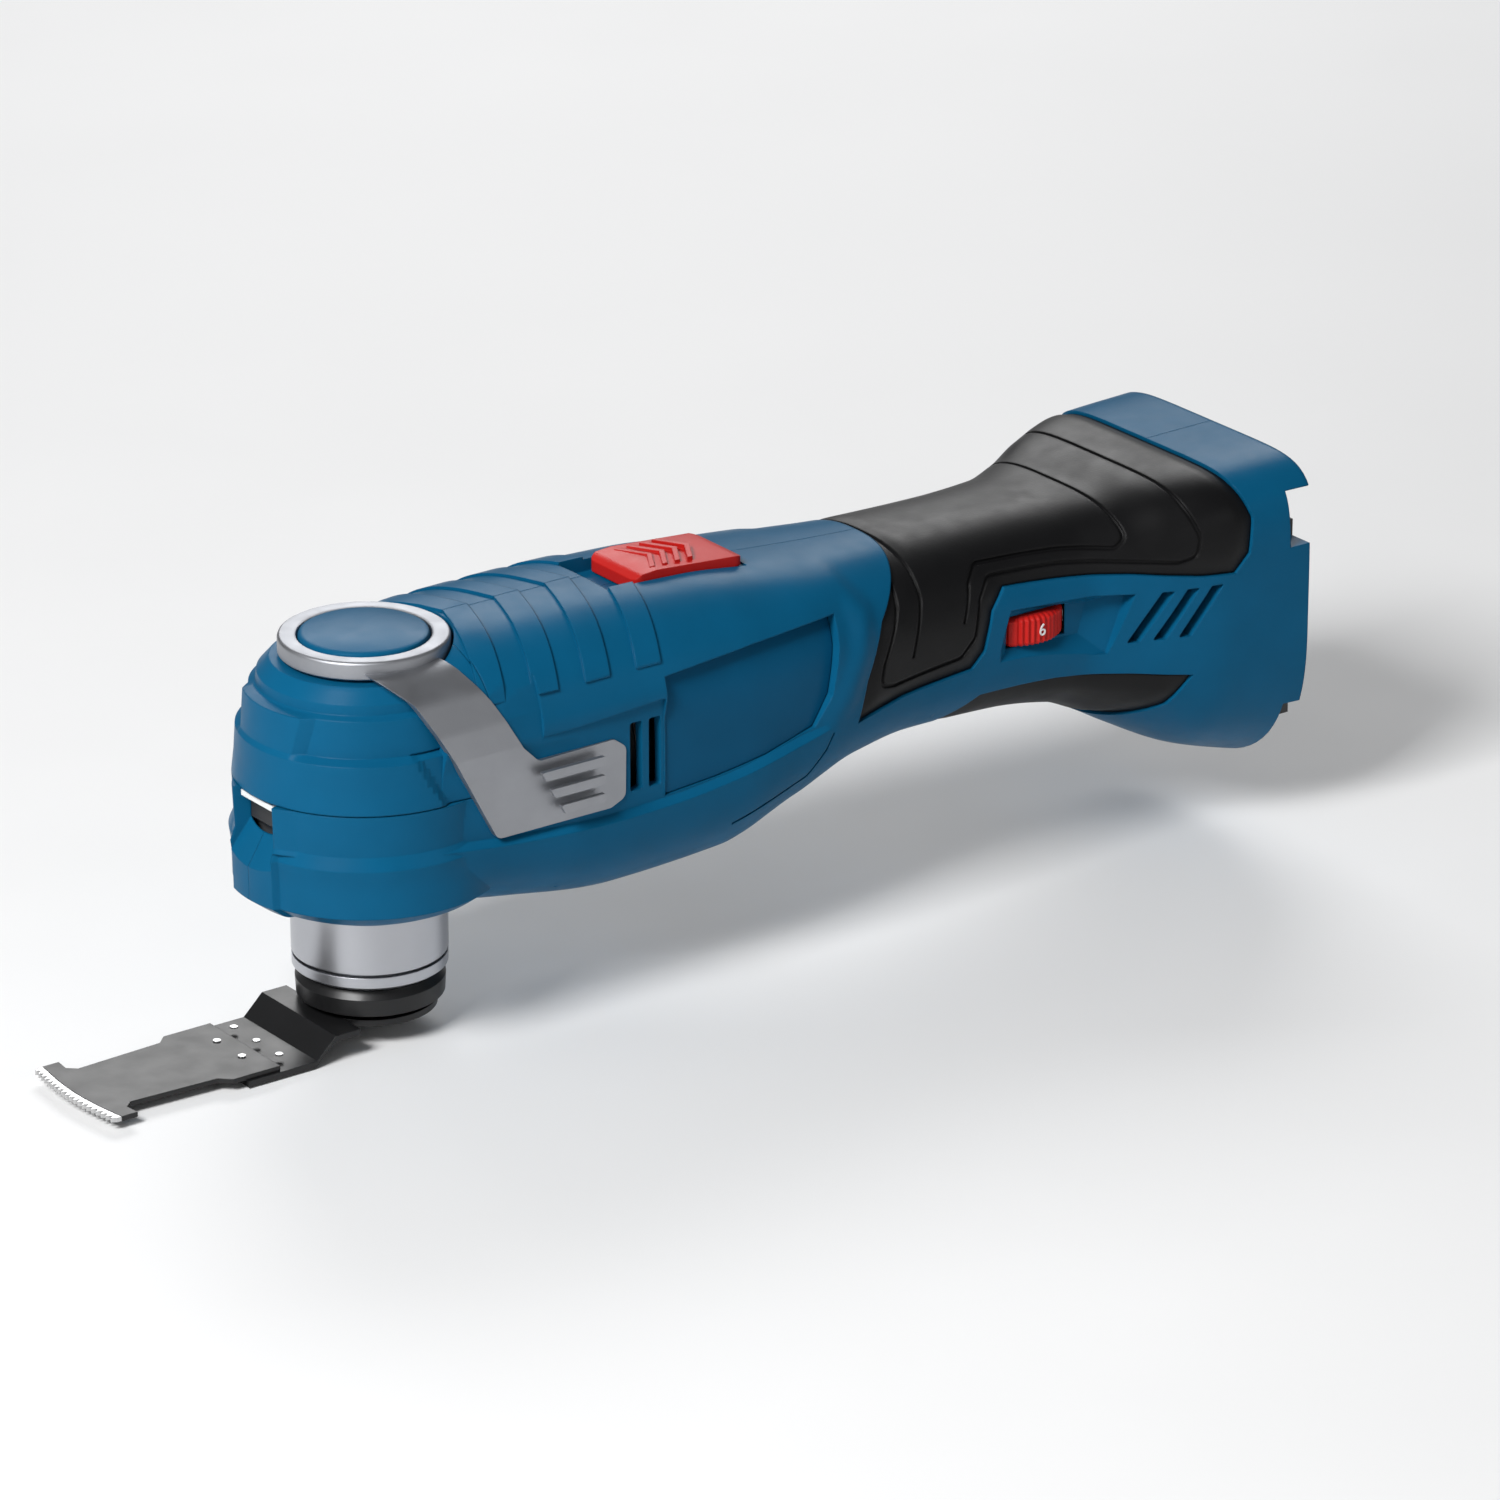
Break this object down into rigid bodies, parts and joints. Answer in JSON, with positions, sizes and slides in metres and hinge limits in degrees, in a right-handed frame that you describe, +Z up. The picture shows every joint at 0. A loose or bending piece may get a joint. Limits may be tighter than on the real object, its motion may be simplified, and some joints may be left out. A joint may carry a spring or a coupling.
{
  "type": "oscillating multi tool",
  "caption": "Cordless oscillating multi tool without battery, with a stepped round head, side clamping lever, soft grip and a cranked plunge saw blade.",
  "frame": {"origin": "on the spindle axis at the lower rim of the spindle's bell", "axes": "+Z up along the spindle, +X from the head to the battery foot, the pictured flank is -Y"},
  "size_m": [0.3154, 0.0757, 0.0927],
  "materials": {
    "blue_plastic": "satin moulded",
    "plate_plastic": "smooth moulded",
    "soft_grip": "satin",
    "screw_steel": "blackened",
    "cast_aluminium": "cast",
    "lever_metal": "satin cast",
    "brushed_steel": "turned",
    "bearing_steel": "ground",
    "lamination_steel": "laminated",
    "copper": "enamelled wire",
    "contact_metal": "stamped",
    "black_plastic": "moulded",
    "circuit_board": "lacquered",
    "wire_insulation": "smooth",
    "red_plastic": "moulded",
    "clear_plastic": "clear",
    "black_steel": "black coated",
    "bright_steel": "ground"
  },
  "bodies": {
    "housing": {"housing_left": "blue_plastic", "housing_right": "blue_plastic", "head_cover": "blue_plastic", "side_plate_left": "plate_plastic", "side_plate_right": "plate_plastic", "grip_rubber": "soft_grip", "belly_rubber": "soft_grip", "underside_pad": "soft_grip", "housing_screws": "screw_steel", "gear_case": "cast_aluminium", "gear_case_cover": "cast_aluminium", "gear_case_screws": "screw_steel", "neck_collar": "brushed_steel", "spindle_bearing_outer_rings": "bearing_steel", "spindle_bearing_balls": "bearing_steel", "lever_retaining_ring": "screw_steel", "stator_core": "lamination_steel", "stator_coils": "copper", "stator_insulators": "black_plastic", "hall_sensor_board": "circuit_board", "motor_mount": "cast_aluminium", "motor_bearing_outer_rings": "bearing_steel", "motor_bearing_balls": "bearing_steel", "switch_module": "black_plastic", "control_board": "circuit_board", "board_components": "black_plastic", "heat_sink": "cast_aluminium", "speed_potentiometer": "black_plastic", "led_board": "circuit_board", "led_lens": "clear_plastic", "battery_interface": "black_plastic", "battery_contacts": "contact_metal", "motor_wires": "wire_insulation", "battery_wires": "wire_insulation"},
    "lever": {"clamp_lever": "lever_metal", "cap_disc": "blue_plastic", "lever_cam": "brushed_steel"},
    "spindle": {"spindle": "brushed_steel", "oscillating_fork": "brushed_steel", "jaw_pins": "screw_steel", "spindle_bearing_inner_rings": "bearing_steel", "clamp_spring": "screw_steel"},
    "release_rod": {"release_rod": "brushed_steel"},
    "jaw_front": {"clamp_jaw_front": "brushed_steel"},
    "jaw_rear": {"clamp_jaw_rear": "brushed_steel"},
    "rotor": {"rotor_shaft": "brushed_steel", "rotor_core": "lamination_steel", "rotor_magnets": "lamination_steel", "eccentric_bush": "brushed_steel", "eccentric_bearing": "bearing_steel", "cooling_fan": "black_plastic", "motor_bearing_inner_rings": "bearing_steel"},
    "blade": {"blade_hub": "black_steel", "blade_carrier": "black_steel", "blade_plate": "black_steel", "blade_tooth_strip": "bright_steel", "blade_spot_welds": "bright_steel"},
    "slider": {"slide_switch": "red_plastic", "switch_link": "black_plastic"},
    "dial": {"speed_dial": "red_plastic"}
  },
  "joints": [
    {"name": "rotor_spin", "type": "hinge", "parent": "housing", "child": "rotor", "pos_m": [0.02, 0, 0.042], "axis": [1, 0, 0], "continuous": true},
    {"name": "spindle_oscillation", "type": "hinge", "parent": "housing", "child": "spindle", "pos_m": [0, 0, 0.03], "axis": [0, 0, 1], "range_deg": [-1.7, 1.7]},
    {"name": "clamp_lever", "type": "hinge", "parent": "housing", "child": "lever", "pos_m": [0, 0, 0.075], "axis": [0, 0, 1], "range_deg": [-100, 0]},
    {"name": "rod_slide", "type": "slide", "parent": "spindle", "child": "release_rod", "axis": [0, 0, -1], "range_m": [0, 0.0025], "deforming": ["clamp_spring"]},
    {"name": "jaw_front_tilt", "type": "hinge", "parent": "spindle", "child": "jaw_front", "pos_m": [-0.0062, 0, 0.011], "axis": [0, 1, 0], "range_deg": [-6, 0]},
    {"name": "jaw_rear_tilt", "type": "hinge", "parent": "spindle", "child": "jaw_rear", "pos_m": [0.0062, 0, 0.011], "axis": [0, 1, 0], "range_deg": [0, 6]},
    {"name": "blade_release", "type": "slide", "parent": "spindle", "child": "blade", "axis": [0, 0, -1], "range_m": [0, 0.03]},
    {"name": "switch_slide", "type": "slide", "parent": "housing", "child": "slider", "axis": [-1, 0, 0], "range_m": [0, 0.007]},
    {"name": "speed_dial_turn", "type": "hinge", "parent": "housing", "child": "dial", "pos_m": [0.166, -0.0146, 0.0475], "axis": [0, 0, 1], "range_deg": [-270, 0]}
  ],
  "couplings": [
    {"joint": "rod_slide", "follows": "clamp_lever", "m_per_rad": -0.0014324},
    {"joint": "jaw_front_tilt", "follows": "clamp_lever", "ratio": 0.06},
    {"joint": "jaw_rear_tilt", "follows": "clamp_lever", "ratio": -0.06}
  ]
}
